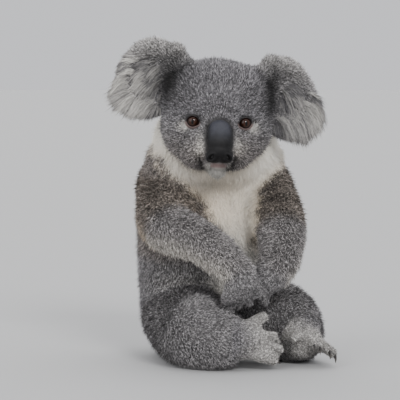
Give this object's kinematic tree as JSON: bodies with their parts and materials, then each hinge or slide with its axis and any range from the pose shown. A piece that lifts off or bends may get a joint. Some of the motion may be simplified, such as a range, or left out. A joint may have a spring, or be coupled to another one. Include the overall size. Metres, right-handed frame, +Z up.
{
  "type": "koala",
  "caption": "Life-size still model of a seated koala with large fringed ears, a bare oval nose, folded arms and drawn-up legs.",
  "frame": {"origin": "middle of the animal's box, at the level of the floor that it sits on", "axes": "+Z up; -Y the way the head looks; +X the koala's own left"},
  "size_m": [0.2538, 0.23, 0.3689],
  "materials": {
    "coat_grey": "short woolly grey fur with pale tips",
    "coat_white": "white to cream fur of throat, chest, chin and ear fringe",
    "nose_skin": "bare black leathery skin, satin",
    "eye": "wet gloss, brown iris with an upright pupil",
    "claw": "dark horn, satin"
  },
  "bodies": {
    "root": {"rump": "coat_grey", "belly": "coat_grey", "chest": "coat_white", "neck": "coat_white", "head": "coat_grey", "lower_jaw": "coat_white", "ear_left": "coat_grey", "ear_right": "coat_grey", "upper_arm_left": "coat_grey", "forearm_left": "coat_grey", "hand_left": "coat_grey", "thigh_left": "coat_grey", "shank_left": "coat_grey", "foot_left": "coat_grey", "upper_arm_right": "coat_grey", "forearm_right": "coat_grey", "hand_right": "coat_grey", "thigh_right": "coat_grey", "shank_right": "coat_grey", "foot_right": "coat_grey", "nose": "nose_skin", "eye_left": "eye", "claw_hand_left_first": "claw", "claw_hand_left_second": "claw", "claw_hand_left_third": "claw", "claw_hand_left_fourth": "claw", "claw_hand_left_fifth": "claw", "claw_foot_left_second": "claw", "claw_foot_left_third": "claw", "claw_foot_left_fourth": "claw", "claw_foot_left_fifth": "claw", "eye_right": "eye", "claw_hand_right_first": "claw", "claw_hand_right_second": "claw", "claw_hand_right_third": "claw", "claw_hand_right_fourth": "claw", "claw_hand_right_fifth": "claw", "claw_foot_right_second": "claw", "claw_foot_right_third": "claw", "claw_foot_right_fourth": "claw", "claw_foot_right_fifth": "claw"}
  },
  "joints": []
}
